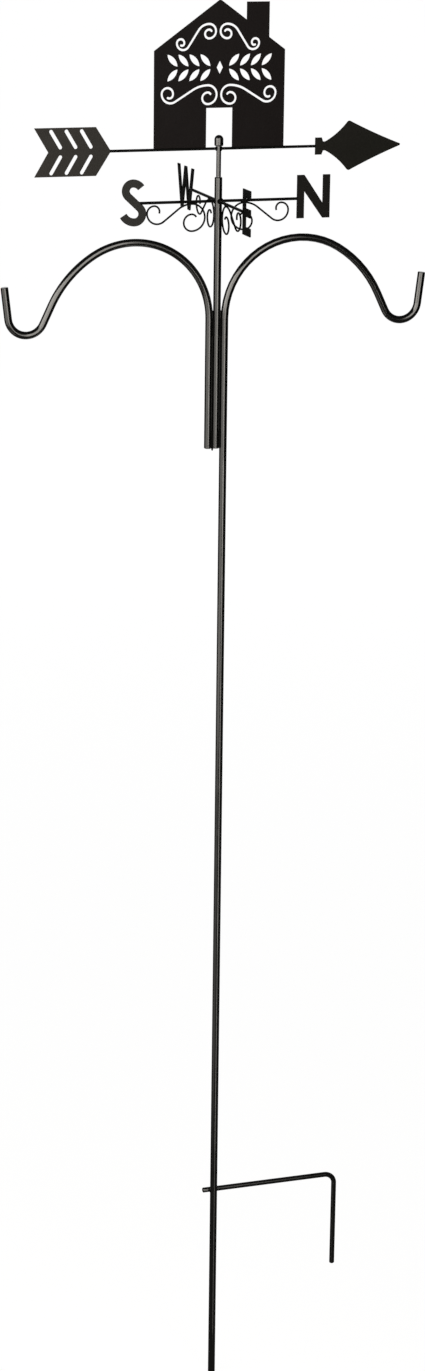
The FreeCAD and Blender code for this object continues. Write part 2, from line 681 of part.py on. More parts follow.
def make_direction(direction):
    """One arm with its letter and its scroll, pointing one way from the mast."""
    geometry, edge, lean = LETTERS[direction]()
    placed = {"x": "mast_x", "z": "arm_height", "bearing": BEARINGS[direction]}
    letter = plate(f"{direction}_letter", geometry, placed)

    arm = new_body(f"{direction}_arm", **placed)
    reach = f"{direction}_reach"
    rod = pad(arm, "rod", circle_sketch(arm, "section", "YZ_Plane", ["arm_diameter"]), reach)
    half = size("arm_diameter")
    if lean:
        rod.setExpression("Length", f"{cell(reach)} + {edge + abs(lean) * half}")
        doc.recompute()
        end = size(reach) + edge
        trim = sketch_on(arm, "trim", "XZ_Plane")
        far = end + 2 * abs(lean) * half + half
        trim.addGeometry(polygon([(end - lean * half, -half), (end + lean * half, half), (far, half),
                                  (far, -half)]), False)
        cut_through(arm, "mitre", trim)
    cut_through(arm, "cope", circle_sketch(arm, "mast", "XY_Plane", ["rod_diameter"]))
    return [arm, letter, make_scroll(direction)]


def house_outline():
    """House with a doorway that is open to the shaft, and a chimney on the right of the roof."""
    half, door = size("house_width") / 2, size("door_width") / 2
    wall, rise = size("wall_height"), size("roof_rise")
    near = size("chimney_offset") - size("chimney_width") / 2
    far = near + size("chimney_width")
    top = wall + rise - size("chimney_drop")

    def roof(x):
        return wall + rise * (1 - x / half)

    return polygon([(-half, 0), (-half, wall), (0, wall + rise), (near, roof(near)), (near, top), (far, top),
                    (far, roof(far)), (half, wall), (half, 0), (door, 0), (door, size("door_height")),
                    (-door, size("door_height")), (-door, 0)])


def cut_scroll(prefix, side):
    """One stroke along an S scroll, for cutting out of the house plate, about its pair's middle."""
    inner, outer = scroll_walks(prefix, size(f"{prefix}_crown"), size(f"{prefix}_level"), side)
    outer.bend(f"{prefix}_coil", COIL_END_TURN, 1)
    half = size("cut_width") / 2
    made = inner.edges(half) + inner.edges(-half) + outer.edges(half) + outer.edges(-half)
    for walk in (inner, outer):
        made.append(arc(walk.at, half, walk.heading - 90, 180.0))
    for edge in made:
        edge.translate(Vector(size(f"{prefix}_axis"), 0, 0))
    return made


def leaf(foot_x, way, side):
    """A leaf of two arcs that grows up or down and outwards from the garland's stem."""
    length, width = size("leaf_length"), size("leaf_width")
    radius = (length ** 2 + width ** 2) / (4 * width)
    heading = way * size("leaf_slant")
    heading = heading if side > 0 else 180.0 - heading
    foot = Vector(side * foot_x, size("leaf_level") + way * size("leaf_stem"), 0)
    tip = foot + toward(heading, length)
    bulge = math.degrees(math.asin(length / (2 * radius)))
    made = []
    for hand in (1, -1):
        centre = (foot + tip) * 0.5 - toward(heading + 90 * hand, radius - width / 2)
        made.append(arc(centre, radius, heading + 90 * hand - bulge, 2 * bulge))
    return made


def make_house():
    """House plate with four cut scrolls and a garland of leaves between them."""
    body = plate("house_plate", house_outline(), {"x": "mast_x", "z": "plate_bottom"})
    scrolls = sketch_on(body, "scrolls", "XZ_Plane")
    leaves = sketch_on(body, "leaves", "XZ_Plane")
    for side in (1, -1):
        for prefix in ("upper", "lower"):
            scrolls.addGeometry(cut_scroll(prefix, side), False)
        for number in range(LEAF_PAIRS):
            for way in (1, -1):
                leaves.addGeometry(leaf(size("leaf_first") + number * size("leaf_pitch"), way, side), False)
    wide, tall = size("bud_width") / 2, size("bud_height") / 2
    middle = size("leaf_level")
    bud = polygon([(-wide, middle), (0, middle + tall), (wide, middle), (0, middle - tall)])
    leaves.addGeometry(bud, False)
    cut_through(body, "scroll_cuts", scrolls)
    cut_through(body, "leaf_cuts", leaves)
    return body


def make_tail():
    """Chevron tail with slots that follow its rake, blunt in front where the shaft ends."""
    half, rake = size("tail_height") / 2, size("tail_rake")
    front, rear = -size("tail_start"), -size("tail_start") - size("tail_length")
    blunt = size("shaft_diameter") / 2
    slope = rake / half
    shoulder = front - size("tail_nose") * (half - blunt) / half
    corners = [(front, blunt), (shoulder, half), (rear, half), (rear + rake, 0), (rear, -half),
               (shoulder, -half), (front, -blunt)]
    body = plate("tail_plate", polygon(corners), {"x": "mast_x", "z": "arrow_height"})
    slots = sketch_on(body, "slots", "XZ_Plane")
    inner, outer = size("slot_inner"), size("slot_outer")
    width = size("slot_width")
    for number in range(SLOT_COUNT):
        line = front - size("slot_first") - number * size("slot_pitch")
        for way in (1, -1):
            start = Vector(line - slope * inner, way * inner, 0)
            end = Vector(line - slope * outer, way * outer, 0)
            heading = math.degrees(math.atan2(end.y - start.y, end.x - start.x))
            shift = toward(heading + 90, width / 2)
            slots.addGeometry([Part.LineSegment(start + shift, end + shift),
                               Part.LineSegment(start - shift, end - shift),
                               arc(start, width / 2, heading + 90, 180.0),
                               arc(end, width / 2, heading - 90, 180.0)], False)
    cut_through(body, "slot_cuts", slots)
    return body


def hollow_arc(start, end, radius, way):
    """A shallow arc between two points, hollow to the right of its way."""
    chord = end - start
    sag = size(radius) - math.sqrt(size(radius) ** 2 - (chord.Length / 2) ** 2)
    side = Vector(chord.y, -chord.x, 0).normalize() * sag * way
    return Part.Arc(start, start + chord * 0.5 + side, end)


def make_head():
    """Arrow head: a collar, a neck and hollow flanks that flare to two barbs behind the point."""
    back = size("head_start")
    collar, neck = size("collar_height") / 2, size("neck_height") / 2
    front = back + size("collar_width")
    neck_start = front + size("collar_taper")
    neck_end = neck_start + size("neck_run")
    barb = Vector(back + size("barb_start"), size("barb_height") / 2, 0)
    point = Vector(back + size("head_length"), 0, 0)
    geometry = [Part.LineSegment(Vector(back, -collar, 0), Vector(back, collar, 0))]
    corners = []
    for way in (1, -1):
        upper = Vector(front, way * collar, 0)
        neck_in = Vector(neck_start, way * neck, 0)
        neck_out = Vector(neck_end, way * neck, 0)
        corner = Vector(barb.x, way * barb.y, 0)
        corners.append(corner)
        geometry += [Part.LineSegment(Vector(back, way * collar, 0), upper), Part.LineSegment(upper, neck_in),
                     Part.LineSegment(neck_in, neck_out), hollow_arc(neck_out, corner, "flank_radius", way),
                     hollow_arc(corner, point, "edge_radius", way)]
    body = plate("arrow_head", geometry, {"x": "mast_x", "z": "arrow_height"})
    ease(body, "barbs", "Fillet", [in_front_plane(corner) for corner in corners], "barb_round",
         "Part::GeomLine")
    ease(body, "point", "Fillet", [in_front_plane(point)], "point_round", "Part::GeomLine")
    return body


def make_shaft(label, length, bearing):
    """An arrow shaft from the sleeve out to a plate, hollowed at its root to fit the sleeve."""
    body = new_body(label, x="mast_x", z="arrow_height", bearing=bearing)
    pad(body, "rod", circle_sketch(body, "section", "YZ_Plane", ["shaft_diameter"]), length)
    cut_through(body, "cope", circle_sketch(body, "sleeve", "XY_Plane", ["sleeve_diameter"]))
    return body


def solid_of(piece):
    """A finished piece's solid, in its place."""
    return piece.Shape.Solids[0]


def bead(start, direction, length, radius):
    """A weld bead with round ends."""
    axis = Vector(direction).normalize()
    run = Part.makeCylinder(radius, length, start, axis)
    ends = [Part.makeSphere(radius, start), Part.makeSphere(radius, start + axis * length)]
    return run.multiFuse(ends).removeSplitter()


def weld_node(label, beads, joined):
    """Weld beads as one piece, fitted round the solids that they join."""
    node = doc.addObject("Part::Feature", label)
    node.Label = label
    solids = []
    for raw in beads:
        reach = raw.BoundBox
        near = [solid for solid in joined if solid.BoundBox.intersect(reach)]
        solids += raw.cut(near).Solids
    node.Shape = Part.makeCompound(solids)
    node.Placement = Placement()
    return node


def root_beads(bearings, surface, height, shaft):
    """Weld collars round shafts that stand out from the mast's axis at one height."""
    made = []
    for bearing in bearings:
        turn = Rotation(UP, bearing)
        axis = turn.multVec(Vector(1, 0, 0))
        sunk = surface / 2
        start = Vector(size("mast_x"), 0, height) + axis * sunk
        slope = (size("root_bead") - shaft) / size("root_bead_length")
        made.append(Part.makeCone(size("root_bead") + slope * (surface - sunk), shaft,
                                  surface - sunk + size("root_bead_length"), start, axis))
    return made


def make_welds(pieces):
    """All weld beads, after the pieces that they join."""
    solid = {label: solid_of(piece) for label, piece in pieces.items()}
    bars = [solid["main_post"], solid["left_hook"], solid["mast"]]
    length = size("bead_length")
    shanks = []
    for valley in (0.5, 1.5):
        for side in (1, -1):
            line = Vector(-valley * size("pitch"), side * size("bead_offset"), 0)
            for low in (size("fork_height") - size("bead_drop") + size("bead_radius"),
                        size("bend_height") - length):
                shanks.append(bead(line + UP * low, UP, length, size("bead_radius")))
    crossing = Vector(0, (size("rod_diameter") + size("weld_gap")) / 2, size("foot_level"))
    foot = [Part.makeSphere(size("foot_bead_radius"), crossing)]

    arms = [solid[f"{direction}_arm"] for direction in BEARINGS]
    roots = root_beads(BEARINGS.values(), size("rod_diameter") / 2, size("arm_height"),
                       size("arm_diameter") / 2)
    seams = []
    seam, run = size("seam_bead"), size("seam_bead_length")
    for bearing in BEARINGS.values():
        place = Placement(Vector(size("mast_x"), 0, size("arm_height")), Rotation(UP, bearing))
        for side in (1, -1):
            start = Vector(size("scroll_crown") - run / 2, side * 1.2 * seam,
                           size("wire_level") + 1.15 * seam)
            raw = bead(start, Vector(1, 0, 0), run, seam)
            raw.Placement = place
            seams.append(raw)
    wires = [solid[f"{direction}_scroll"] for direction in BEARINGS]

    filled = Part.makeCylinder(size("sleeve_diameter") / 2, size("sleeve_length"),
                               Vector(size("mast_x"), 0, size("sleeve_bottom")), UP)
    hub = [filled, solid["front_shaft"], solid["rear_shaft"]]
    shafts = root_beads((0.0, 180.0), size("sleeve_diameter") / 2, size("arrow_height"),
                        size("shaft_diameter") / 2)
    house = []
    jamb, wall = size("door_width") / 2, size("house_width") / 2
    behind = size("plate_thickness") / 2 + seam / 2
    for side in (1, -1):
        for along in (jamb + run, wall - run):
            start = Vector(size("mast_x") + side * along - run / 2, behind, size("plate_bottom") - seam / 3)
            house.append(bead(start, Vector(1, 0, 0), run, seam))
    return [
        weld_node("shank_welds", shanks, bars),
        weld_node("foot_weld", foot, [solid["main_post"], solid["foot_bar"]]),
        weld_node("arm_welds", roots, [solid["mast"]] + arms),
        weld_node("scroll_welds", seams, arms + wires),
        weld_node("hub_welds", shafts, hub),
        weld_node("house_welds", house, [solid["house_plate"], solid["front_shaft"], solid["rear_shaft"]]),
    ]


def check(pieces):
    """Stop if any object failed, or if a piece is empty, unsound or not where it should be."""
    for thing in doc.Objects:
        if "Invalid" in thing.State or "Error" in thing.State:
            raise RuntimeError(f"{thing.Name} failed: {thing.State}")
    for piece in pieces:
        if piece.Shape.isNull() or not piece.Shape.isValid() or not piece.Shape.Solids:
            raise RuntimeError(f"{piece.Label} has no sound shape")


def main():
    parts = [
        make_bar("main_post", None, "stake_end", "post_run", 1),
        make_bar("left_hook", "left_x", "fork_height", "shank_run", -1),
        make_mast(),
        make_foot_bar(),
    ]
    parts += make_pivot()
    for direction in BEARINGS:
        parts += make_direction(direction)
    parts += make_hub()
    parts += [
        make_shaft("front_shaft", "head_start", 0.0),
        make_shaft("rear_shaft", "tail_start", 180.0),
        make_house(),
        make_tail(),
        make_head(),
    ]
    doc.recompute()
    parts += make_welds({piece.Label: piece for piece in parts})
    doc.recompute()
    check(parts)
    os.makedirs("parts", exist_ok=True)
    for piece in parts:
        piece.Shape.exportStep(f"parts/{piece.Label}.step")
        box = piece.Shape.BoundBox
        print(f"{piece.Label}: {len(piece.Shape.Solids)} solid, {piece.Shape.Volume:.0f} mm3, "
              f"x {box.XMin:.1f}..{box.XMax:.1f}, y {box.YMin:.1f}..{box.YMax:.1f}, "
              f"z {box.ZMin:.1f}..{box.ZMax:.1f}")


main()
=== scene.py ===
"""Looks of the shepherd's hook with its weathervane: paints, welds, coats, floor, light and camera."""
import json
import math

import bmesh
import bpy
from mathutils import Matrix, Vector


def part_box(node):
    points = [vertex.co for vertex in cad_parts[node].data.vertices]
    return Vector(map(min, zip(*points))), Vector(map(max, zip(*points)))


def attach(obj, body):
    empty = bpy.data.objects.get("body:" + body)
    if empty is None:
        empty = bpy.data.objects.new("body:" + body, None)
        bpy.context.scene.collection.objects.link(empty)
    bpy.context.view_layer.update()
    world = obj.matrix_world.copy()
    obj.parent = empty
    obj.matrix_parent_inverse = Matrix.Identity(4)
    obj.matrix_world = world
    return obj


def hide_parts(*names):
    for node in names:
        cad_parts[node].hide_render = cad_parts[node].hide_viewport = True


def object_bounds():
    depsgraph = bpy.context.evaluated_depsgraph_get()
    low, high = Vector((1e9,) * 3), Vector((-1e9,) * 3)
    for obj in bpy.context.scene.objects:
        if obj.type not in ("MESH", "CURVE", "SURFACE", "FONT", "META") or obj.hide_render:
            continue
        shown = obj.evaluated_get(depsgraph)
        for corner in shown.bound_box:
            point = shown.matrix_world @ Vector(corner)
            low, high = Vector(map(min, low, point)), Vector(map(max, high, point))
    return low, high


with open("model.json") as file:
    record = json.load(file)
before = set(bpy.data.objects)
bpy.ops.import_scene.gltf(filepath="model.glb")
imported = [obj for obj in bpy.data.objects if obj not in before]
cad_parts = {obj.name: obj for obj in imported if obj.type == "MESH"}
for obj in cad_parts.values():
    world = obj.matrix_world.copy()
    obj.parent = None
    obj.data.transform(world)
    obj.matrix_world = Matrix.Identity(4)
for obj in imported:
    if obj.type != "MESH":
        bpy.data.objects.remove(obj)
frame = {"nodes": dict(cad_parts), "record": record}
cad_low, cad_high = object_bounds()
nodes = frame["nodes"]

# The room: a floor just under the stake's end and a white background, with dim light from all sides
WHITE = (1.0, 1.0, 1.0, 1.0)
ROOM_LEVEL = 0.02
FLOOR_LEVEL = cad_low.z - 0.0005
FLOOR_RADIUS = 80.0
FLOOR_GREY = (0.1, 0.1, 0.1, 1.0)
FLOOR_GLOW = {"From Min": 0.6, "From Max": 6.0, "To Min": 0.96, "To Max": 1.0}

# Straight behind the object, and how nearly a reflection points there before it shows the white
BEHIND = (0.3016, 0.9534, 0.0)
BEHIND_FROM = 0.86
BEHIND_FULL = 0.97

# The photograph's viewpoint: place in metres, angles in degrees, lens and sensor in millimetres
CAMERA_PLACE = (-1.42337, -4.45895, 2.30674)
CAMERA_BEARING = -17.557
CAMERA_DROP = 16.643
CAMERA_ROLL = 0.675
CAMERA_LENS = 78.957
CAMERA_SENSOR = 36.0
CAMERA_REACH = 300.0

# Soft panels: name, bearing from the front in degrees, distance, shift to the right,
# height of the lower and of the upper edge, width, level
LAMP_COLOUR = (1.0, 0.96, 0.89)
LAMPS = (
    ("front panel", 0.0, 5.0, -0.38, 0.1, 5.6, 3.08, 2.4),
    ("front wing", 0.0, 5.0, 1.59, 1.25, 5.6, 0.86, 0.6),
    ("upper strip", 3.0, 0.15, 0.0, 0.95, 1.25, 0.060, 1.9),
    ("middle strip", 6.0, 0.15, 0.0, 0.70, 0.95, 0.045, 2.0),
    ("low strip", 8.0, 0.15, 0.0, 0.40, 0.70, 0.036, 2.4),
    ("lower strip", 8.0, 0.15, 0.0, 0.02, 0.40, 0.034, 1.6),
    ("foot strip", 8.0, 0.15, 0.0, -0.345, 0.02, 0.034, 0.8),
    ("side strip", -75.0, 1.0, 0.0, -0.3, 0.75, 1.7, 0.25),
    ("left panel", -60.0, 2.8, 0.0, 1.4, 3.4, 3.9, 3.0),
    ("low left panel", -60.0, 2.8, 0.0, -0.1, 1.4, 3.9, 0.9),
)

# Directions of the arms, as turns from +X in degrees
TURNS = {"north": 0.0, "west": 90.0, "south": 180.0, "east": 270.0}
SIDES = (-1.0, 1.0)

# Puddles of a weld: lean in radians, share by which they swell, beat of the swelling, thickness by width
ROW_LEAN = 0.5
ROW_SWELL = 0.07
ROW_BEAT = 2.3
ROW_FLAT = 0.62
RING_LEAN = 0.6
RING_SWELL = 0.10
RING_BEAT = 1.9
RING_FLAT = 0.7

# Seams between the shanks: distance from the mast's axis, half width, half depth,
# start above the welds' lower end, and length beyond the welds' own
SEAM_OUT = 0.0063
SEAM_WIDTH = 0.0006
SEAM_DEPTH = 0.0018
SEAM_START = 0.002
SEAM_EXTRA = 0.008
SEAM_STEPS = 60

# Beads in the shanks' valleys: distance from the middle plane, length, and feet from the welds' ends
VALLEY_OUT = 0.0030
VALLEY_LENGTH = 0.026
VALLEY_LOW = 0.003
VALLEY_HIGH = 0.029
DRIP_OUT = 0.0034
DRIP_UP = 0.001

# Beads of arms and scrolls: the root's distance from the axis, and the crown's line beside the arm
ARM_ROOT = 0.0064
CROWN_OUT = 0.00138
CROWN_DROP = 0.00208
CROWN_START = 0.0375
CROWN_END = 0.0475

# Beads of the vane: the root's distance from the axis, and the lines behind the house's foot
HUB_ROOT = 0.0041
HOUSE_STARTS = (0.026, 0.0898)
HOUSE_LENGTH = 0.010
HOUSE_BACK = 0.0012

# How far the paint stands out from the rods
ARM_COAT = 0.00028
SCROLL_COAT = 0.00015
SHAFT_COAT = 0.00015
FOOT_COAT = 0.00030

# Letters: thickness of the sheet, rounding of its edges
LETTER_SHEET = 0.0024
LETTER_EDGE = 0.0004

# Points within SAME_PLACE become one, faces within FLAT_ANGLE become one, edges past CORNER are sharp,
# and faces that lie in the sheet's plane by FLAT_SHARE aren't smoothed
SAME_PLACE = 0.000001
FLAT_ANGLE = 0.01
FLAT_SHARE = 0.999
CORNER = 0.7


class Finish:
    """A paint that is built node by node on one Principled shader, with patterns in Object space."""

    def __init__(self, name, colour, roughness, gloss, index=1.5):
        self.material = bpy.data.materials.new(name)
        self.material.use_nodes = True
        self.tree = self.material.node_tree
        self.tree.nodes.clear()
        self.shader = self.add("ShaderNodeBsdfPrincipled")
        self.shader.inputs["Base Color"].default_value = (*colour, 1.0)
        self.shader.inputs["Roughness"].default_value = roughness
        self.shader.inputs["Specular IOR Level"].default_value = gloss
        self.shader.inputs["IOR"].default_value = index
        output = self.add("ShaderNodeOutputMaterial")
        self.join(self.shader.outputs["BSDF"], output.inputs["Surface"])
        self.place = self.add("ShaderNodeTexCoord").outputs["Object"]

    def add(self, kind):
        return self.tree.nodes.new(kind)

    def join(self, source, target):
        self.tree.links.new(source, target)

    def stretched(self, along):
        """The place, scaled by one factor per axis."""
        mapping = self.add("ShaderNodeMapping")
        mapping.inputs["Scale"].default_value = along
        self.join(self.place, mapping.inputs["Vector"])
        return mapping.outputs["Vector"]

    def noise(self, scale, detail, rough=0.55, place=None):
        """A noise pattern of so many features per metre."""
        node = self.add("ShaderNodeTexNoise")
        node.inputs["Scale"].default_value = scale
        node.inputs["Detail"].default_value = detail
        node.inputs["Roughness"].default_value = rough
        self.join(place or self.place, node.inputs["Vector"])
        return node.outputs["Fac"]

    def spread(self, value, low, high, bottom=0.0, top=1.0):
        """A value between two levels, stretched to a new span."""
        node = self.add("ShaderNodeMapRange")
        for key, number in (("From Min", low), ("From Max", high), ("To Min", bottom), ("To Max", top)):
            node.inputs[key].default_value = number
        self.join(value, node.inputs["Value"])
        return node.outputs["Result"]

    def blend(self, share, under, over):
        """One colour over another, by a share."""
        node = self.add("ShaderNodeMix")
        node.data_type = "RGBA"
        self.join(share, node.inputs["Factor"])
        for key, colour in (("A", under), ("B", over)):
            socket = [entry for entry in node.inputs if entry.name == key and entry.type == "RGBA"][0]
            if isinstance(colour, tuple):
                socket.default_value = (*colour, 1.0)
            else:
                self.join(colour, socket)
        return [entry for entry in node.outputs if entry.type == "RGBA"][0]

    def relief(self, height, depth, strength):
        """A bump of so many metres."""
        node = self.add("ShaderNodeBump")
        node.inputs["Distance"].default_value = depth
        node.inputs["Strength"].default_value = strength
        self.join(height, node.inputs["Height"])
        return node.outputs["Normal"]

    def colour(self, value):
        self.join(value, self.shader.inputs["Base Color"])

    def rough(self, value):
        self.join(value, self.shader.inputs["Roughness"])

    def normal(self, value):
        self.join(value, self.shader.inputs["Normal"])


def black_paint(name, colour, warm, speckle, roughness, gloss, peel, index=1.5):
    """Satin black paint: slow mottling between two tones, a fine speckle and orange peel."""
    paint = Finish(name, colour, roughness, gloss, index)
    clouds = paint.spread(paint.noise(scale=14.0, detail=4.0), low=0.32, high=0.68)
    toned = paint.blend(clouds, colour, warm)
    specks = paint.noise(scale=520.0, detail=2.0, rough=0.6)
    grain = paint.spread(specks, low=0.35, high=0.65, bottom=0.0, top=speckle)
    pale = tuple(min(1.0, 2.2 * tone + 0.01) for tone in colour)
    paint.colour(paint.blend(grain, toned, pale))
    smudge = paint.noise(scale=36.0, detail=3.0)
    paint.rough(paint.spread(smudge, low=0.3, high=0.7, bottom=roughness - 0.05, top=roughness + 0.06))
    paint.normal(paint.relief(paint.noise(scale=900.0, detail=2.0), depth=0.00004, strength=peel))
    return paint.material


def dull_steel():
    """Bare drawn steel with fine lines round the pin."""
    steel = Finish("bare steel", (0.5, 0.5, 0.5), roughness=0.35, gloss=0.5)
    steel.shader.inputs["Metallic"].default_value = 1.0
    lines = steel.noise(scale=60.0, detail=3.0, rough=0.6, place=steel.stretched((1.0, 1.0, 40.0)))
    steel.colour(steel.blend(lines, (0.42, 0.42, 0.41), (0.58, 0.58, 0.57)))
    steel.rough(steel.spread(lines, low=0.3, high=0.7, bottom=0.28, top=0.42))
    return steel.material


BLACK = (0.0015, 0.0015, 0.0013)
WARM_BLACK = (0.002, 0.002, 0.0017)
PAINTS = {
    "bar_paint": black_paint("bar paint", BLACK, WARM_BLACK,
                             speckle=0.01, roughness=0.16, gloss=1.0, peel=0.02, index=1.65),
    "wire_paint": black_paint("wire paint", BLACK, WARM_BLACK,
                              speckle=0.01, roughness=0.40, gloss=0.1, peel=0.05),
    "letter_paint": black_paint("letter paint", (0.005, 0.005, 0.004), (0.007, 0.006, 0.005),
                                speckle=0.1, roughness=0.40, gloss=0.16, peel=0.1),
    "plate_paint": black_paint("plate paint", (0.005, 0.003, 0.003), (0.006, 0.004, 0.004),
                               speckle=0.1, roughness=0.38, gloss=0.12, peel=0.1),
    # The tail's paint is paler than the other plates', which is painted light for how light falls on it
    "tail_paint": black_paint("tail paint with painted light", (0.010, 0.008, 0.005), (0.013, 0.010, 0.007),
                              speckle=0.1, roughness=0.40, gloss=0.34, peel=0.1),
    "weld_paint": black_paint("weld paint", BLACK, WARM_BLACK,
                              speckle=0.05, roughness=0.45, gloss=0.1, peel=0.3),
    "bare_steel": dull_steel(),
}
# A darker paint for the arrow's head, which is painted shade for how light falls on it
SHADED_HEAD_PAINT = black_paint("head paint with painted shade", (0.006, 0.006, 0.004), (0.008, 0.007, 0.005),
                         speckle=0.1, roughness=0.38, gloss=0.17, peel=0.1)
# Copies of the letter paint for how light falls on the letters: a paler one for the S, which is painted
# light, and a darker one for the W and E, which is painted shade
LIT_LETTER_PAINT = black_paint("letter paint with painted light", (0.008, 0.008, 0.006), (0.011, 0.010, 0.008),
                         speckle=0.1, roughness=0.40, gloss=0.38, peel=0.1)
SHADED_LETTER_PAINT = black_paint("letter paint with painted shade", (0.002, 0.002, 0.0017), (0.003, 0.003, 0.0025),
                         speckle=0.05, roughness=0.40, gloss=0.06, peel=0.1)

# How far each letter's outline stands out from its node's, and its paint: the S has a paler copy of the
# letter paint as painted light, the W and E a darker copy as painted shade
LETTERS = {
    "north": (0.00010, PAINTS["letter_paint"]),
    "west": (0.00028, SHADED_LETTER_PAINT),
    "south": (0.00075, LIT_LETTER_PAINT),
    "east": (0.00090, SHADED_LETTER_PAINT),
}


def paint_nodes():
    """Every node gets the paint of its slot in the record, and the arrow's head its own darker one, which
    is painted shade.
    """
    for part in frame["record"]["subparts"]:
        shape = nodes[part["node"]]
        shape.data.materials.clear()
        shape.data.materials.append(PAINTS[part["material_slot"]])
    nodes["arrow_head"].data.materials[0] = SHADED_HEAD_PAINT


def corners(node):
    """The lowest and the highest corner of a node's box."""
    low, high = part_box(node)
    return Vector(low), Vector(high)


def middle(node):
    """Centre of a node's box."""
    low, high = corners(node)
    return (low + high) / 2


def dressed(name, shape, paint, body, replaced=None):
    """A piece of the looks, with its paint, on its body. Gives its mesh."""
    mesh = bpy.data.meshes.new(name)
    shape.to_mesh(mesh)
    shape.free()
    mesh.materials.append(paint)
    piece = bpy.data.objects.new(name, mesh)
    bpy.context.scene.collection.objects.link(piece)
    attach(piece, body)
    if replaced:
        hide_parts(replaced)
    return mesh


def round_lens():
    """The form that every puddle of a weld is a copy of."""
    shape = bmesh.new()
    bmesh.ops.create_uvsphere(shape, u_segments=14, v_segments=9, radius=1.0)
    mesh = bpy.data.meshes.new("lens")
    shape.to_mesh(mesh)
    shape.free()
    return mesh


LENS = round_lens()


def puddle(shape, place, turn, radius, flat):
    """One lens of molten metal, flattened along its Z."""
    drop = LENS.copy()
    drop.transform(Matrix.Translation(place) @ turn @ Matrix.Diagonal((radius, radius, radius * flat, 1.0)))
    shape.from_mesh(drop)
    bpy.data.meshes.remove(drop)


def bead_row(shape, start, end, radius, pitch):
    """A weld bead: flat round puddles in a row, each leaning over the one before."""
    way = end - start
    count = max(2, round(way.length / pitch))
    turn = way.to_track_quat("Z", "Y").to_matrix().to_4x4() @ Matrix.Rotation(ROW_LEAN, 4, "X")
    for number in range(count + 1):
        swell = 1.0 + ROW_SWELL * math.sin(ROW_BEAT * number)
        puddle(shape, start.lerp(end, number / count), turn, radius * swell, ROW_FLAT)


def bead_ring(shape, centre, axis, ring, radius, count):
    """A weld bead round a rod's root."""
    turn = axis.to_track_quat("Z", "Y").to_matrix().to_4x4()
    for number in range(count):
        spot = Matrix.Rotation(2.0 * math.pi * number / count, 4, "Z")
        swell = 1.0 + RING_SWELL * math.sin(RING_BEAT * number)
        place = centre + turn @ spot @ Vector((ring, 0.0, 0.0))
        puddle(shape, place, turn @ spot @ Matrix.Rotation(RING_LEAN, 4, "X"), radius * swell, RING_FLAT)


def welded(name, shape, body, replaced=None):
    """A weld piece, smooth all over."""
    mesh = dressed(name, shape, PAINTS["weld_paint"], body, replaced)
    mesh.shade_smooth()


def make_shank_welds():
    """Beads low in the valleys between the bars, with a drip under the left one."""
    low, high = corners("shank_welds")
    mast = middle("mast")
    shape = bmesh.new()
    for side in SIDES:
        for front in SIDES:
            line = Vector((mast.x + side * SEAM_OUT, front * VALLEY_OUT, 0.0))
            for foot in (low.z + VALLEY_LOW, high.z - VALLEY_HIGH):
                start = line + Vector((0.0, 0.0, foot))
                end = line + Vector((0.0, 0.0, foot + VALLEY_LENGTH))
                bead_row(shape, start, end, radius=0.0019, pitch=0.0016)
    drip = Vector((mast.x - SEAM_OUT, -DRIP_OUT, low.z + DRIP_UP))
    puddle(shape, drip, Matrix.Identity(4), radius=0.0016, flat=1.9)
    welded("shank_beads", shape, "stand", "shank_welds")


def make_seams():
    """Paint that has run into the seams between the shanks and closed them."""
    low, high = corners("shank_welds")
    mast = middle("mast")
    shape = bmesh.new()
    for side in SIDES:
        ring = bmesh.ops.create_circle(shape, cap_ends=True, segments=12, radius=1.0)["verts"]
        bmesh.ops.scale(shape, vec=(SEAM_WIDTH, SEAM_DEPTH, 1.0), verts=ring)
        bmesh.ops.translate(shape, vec=(mast.x + side * SEAM_OUT, 0.0, low.z + SEAM_START), verts=ring)
        faces = list({face for vert in ring for face in vert.link_faces})
        step = (high.z - low.z + SEAM_EXTRA) / SEAM_STEPS
        bmesh.ops.spin(shape, geom=faces, cent=(0.0, 0.0, 0.0), axis=(0.0, 0.0, 1.0), dvec=(0.0, 0.0, step),
                       angle=0.0, steps=SEAM_STEPS, use_merge=False, use_normal_flip=False,
                       use_duplicate=False)
    bmesh.ops.recalc_face_normals(shape, faces=shape.faces)
    welded("shank_seams", shape, "stand")


def make_rod_welds():
    """Beads round the arms' roots and along the scrolls' crowns."""
    mast = middle("mast")
    roots = bmesh.new()
    crowns = bmesh.new()
    for direction, turn in TURNS.items():
        axis = Matrix.Rotation(math.radians(turn), 4, "Z") @ Vector((1.0, 0.0, 0.0))
        across = Vector((-axis.y, axis.x, 0.0))
        hub = Vector((mast.x, mast.y, middle(f"{direction}_arm").z))
        bead_ring(roots, hub + axis * ARM_ROOT, axis, ring=0.0026, radius=0.0014, count=10)
        for side in SIDES:
            line = hub + across * side * CROWN_OUT - Vector((0.0, 0.0, CROWN_DROP))
            start = line + axis * CROWN_START
            end = line + axis * CROWN_END
            bead_row(crowns, start, end, radius=0.00105, pitch=0.0010)
    welded("arm_root_beads", roots, "stand", "arm_welds")
    welded("scroll_beads", crowns, "stand", "scroll_welds")


def make_foot_weld():
    """A bead round the spot where the foot bar touches the post."""
    shape = bmesh.new()
    bead_ring(shape, middle("foot_weld"), Vector((0.0, 1.0, 0.0)), ring=0.0040, radius=0.0021, count=13)
    welded("foot_bead", shape, "stand", "foot_weld")


